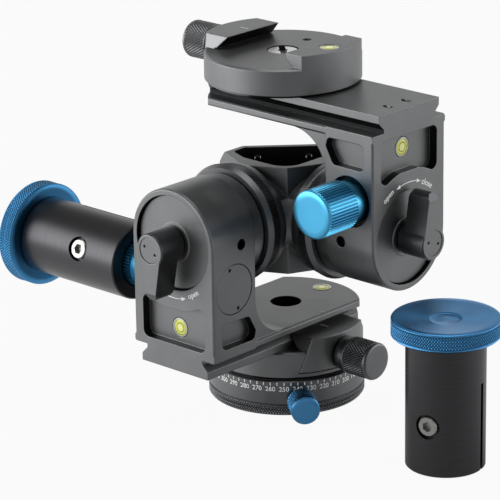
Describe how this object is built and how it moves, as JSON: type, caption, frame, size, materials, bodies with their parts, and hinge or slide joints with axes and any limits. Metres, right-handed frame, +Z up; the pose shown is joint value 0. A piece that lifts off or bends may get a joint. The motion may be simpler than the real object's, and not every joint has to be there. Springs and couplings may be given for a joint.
{
  "type": "geared tripod head",
  "caption": "Geared tripod head: panning base, two crossed worm-geared tilt units on a centre block, quick-release dovetail clamps, slip-on crank handles.",
  "frame": {"origin": "on the pan axis, in the plane of the base's underside, at the mouth of the tripod thread", "axes": "+Z up along the pan axis; +X along the upper tilt axis towards its lever; -Y along the lower tilt axis towards its lever"},
  "size_m": [0.2245, 0.1166, 0.158],
  "materials": {
    "grey_anodised_aluminium": "bead blasted and anodised dark grey, satin",
    "black_anodised_aluminium": "turned and anodised black, satin",
    "blue_anodised_aluminium": "turned and anodised blue, satin",
    "turned_steel": "turned bright steel",
    "bright_screw": "nickel plated screw",
    "black_screw": "blackened steel screw",
    "bronze": "cut bronze",
    "thrust_washer": "sliding plastic washer",
    "bubble_level": "clear vial with yellow-green fluid"
  },
  "bodies": {
    "root": {"base_ring": "black_anodised_aluminium", "base_plate": "black_anodised_aluminium", "base_plate_screws": "bright_screw", "tripod_bush": "turned_steel"},
    "pan_shoe": {"pan_lock_shoe": "bronze"},
    "pan_lock": {"pan_lock_knob": "blue_anodised_aluminium", "pan_lock_screw": "turned_steel"},
    "pan": {"pan_spindle": "turned_steel", "pan_spindle_screws": "black_screw", "pan_washer": "thrust_washer", "base_clamp_body": "grey_anodised_aluminium", "base_clamp_pins": "turned_steel"},
    "base_jaw": {"base_clamp_jaw": "grey_anodised_aluminium"},
    "base_knob": {"base_clamp_screw": "turned_steel", "base_clamp_knob": "black_anodised_aluminium"},
    "lower": {"lower_bracket": "grey_anodised_aluminium", "lower_levels": "bubble_level", "lower_end_cap": "grey_anodised_aluminium", "lower_worm_bushes": "bronze", "lower_worm_cover": "black_anodised_aluminium"},
    "lower_lock": {"lower_lever": "grey_anodised_aluminium", "lower_lever_cap": "black_anodised_aluminium"},
    "lower_drive": {"lower_drive_knob": "blue_anodised_aluminium", "lower_worm": "turned_steel", "handle_tube": "black_anodised_aluminium", "handle_disc": "blue_anodised_aluminium", "handle_screw": "bright_screw"},
    "center": {"lower_worm_wheel": "bronze", "lower_wheel_nut": "turned_steel", "lower_spindle": "turned_steel", "lower_spindle_screws": "black_screw", "lower_scale_ring": "black_anodised_aluminium", "center_block": "grey_anodised_aluminium", "center_cover": "black_anodised_aluminium", "center_cover_screws": "bright_screw", "upper_worm_wheel": "bronze", "upper_wheel_nut": "turned_steel", "upper_spindle": "turned_steel", "upper_spindle_screws": "black_screw", "upper_scale_ring": "black_anodised_aluminium"},
    "upper": {"upper_bracket": "grey_anodised_aluminium", "upper_level": "bubble_level", "upper_end_cap": "grey_anodised_aluminium", "upper_worm_bushes": "bronze", "upper_worm_cover": "black_anodised_aluminium", "top_clamp_body": "grey_anodised_aluminium", "top_clamp_pins": "turned_steel", "top_level": "bubble_level", "top_center_screw": "bright_screw", "top_clamp_nut": "grey_anodised_aluminium"},
    "upper_lock": {"upper_lever": "grey_anodised_aluminium", "upper_lever_cap": "black_anodised_aluminium"},
    "upper_drive": {"upper_drive_knob": "blue_anodised_aluminium", "upper_worm": "turned_steel"},
    "top_jaw": {"top_clamp_jaw": "grey_anodised_aluminium"},
    "top_knob": {"top_clamp_screw": "turned_steel", "top_clamp_knob": "black_anodised_aluminium"},
    "spare_handle": {"spare_handle_tube": "black_anodised_aluminium", "spare_handle_disc": "blue_anodised_aluminium", "spare_handle_screw": "bright_screw"}
  },
  "joints": [
    {"name": "pan_shoe_slide", "type": "slide", "parent": "root", "child": "pan_shoe", "axis": [0.7912, -0.6115, 0], "range_m": [0, 0.0006]},
    {"name": "pan_lock_turn", "type": "hinge", "parent": "pan_shoe", "child": "pan_lock", "pos_m": [0, 0, 0.0065], "axis": [0.7912, -0.6115, 0], "range_deg": [0, 270]},
    {"name": "pan", "type": "hinge", "parent": "root", "child": "pan", "pos_m": [0, 0, 0], "axis": [0, 0, 1], "continuous": true},
    {"name": "base_jaw_slide", "type": "slide", "parent": "pan", "child": "base_jaw", "axis": [1, 0, 0], "range_m": [0, 0.004]},
    {"name": "base_knob_turn", "type": "hinge", "parent": "base_jaw", "child": "base_knob", "pos_m": [0.04, 0, 0.0244], "axis": [1, 0, 0], "range_deg": [0, 1152]},
    {"name": "rail_slide", "type": "slide", "parent": "pan", "child": "lower", "axis": [0, 1, 0], "range_m": [-0.015, 0.008]},
    {"name": "lower_lock_turn", "type": "hinge", "parent": "lower", "child": "lower_lock", "pos_m": [0, -0.075, 0.0842], "axis": [0, 1, 0], "range_deg": [-45, 45]},
    {"name": "lower_tilt", "type": "hinge", "parent": "lower", "child": "center", "pos_m": [0, 0, 0.0842], "axis": [0, 1, 0], "range_deg": [-90, 25]},
    {"name": "lower_drive_turn", "type": "hinge", "parent": "lower", "child": "lower_drive", "pos_m": [-0.04, -0.0567, 0.0658], "axis": [1, 0, 0], "range_deg": [-3600, 1000]},
    {"name": "upper_tilt", "type": "hinge", "parent": "center", "child": "upper", "pos_m": [0, 0, 0.0842], "axis": [1, 0, 0], "range_deg": [-90, 30]},
    {"name": "upper_lock_turn", "type": "hinge", "parent": "upper", "child": "upper_lock", "pos_m": [0.075, 0, 0.0842], "axis": [1, 0, 0], "range_deg": [-45, 45]},
    {"name": "upper_drive_turn", "type": "hinge", "parent": "upper", "child": "upper_drive", "pos_m": [0.0567, -0.04, 0.1026], "axis": [0, 1, 0], "range_deg": [-3600, 1200]},
    {"name": "top_jaw_slide", "type": "slide", "parent": "upper", "child": "top_jaw", "axis": [-1, 0, 0], "range_m": [0, 0.004]},
    {"name": "top_knob_turn", "type": "hinge", "parent": "top_jaw", "child": "top_knob", "pos_m": [-0.04, 0, 0.1486], "axis": [-1, 0, 0], "range_deg": [0, 1152]},
    {"name": "spare_handle_lift", "type": "slide", "parent": "pan", "child": "spare_handle", "axis": [0, 0, 1], "range_m": [0, 0.07]}
  ],
  "couplings": [
    {"joint": "pan_lock_turn", "follows": "pan_shoe_slide", "rad_per_m": 7853},
    {"joint": "base_knob_turn", "follows": "base_jaw_slide", "rad_per_m": 5026},
    {"joint": "top_knob_turn", "follows": "top_jaw_slide", "rad_per_m": 5026},
    {"joint": "lower_drive_turn", "follows": "lower_tilt", "ratio": 40},
    {"joint": "upper_drive_turn", "follows": "upper_tilt", "ratio": 40}
  ]
}
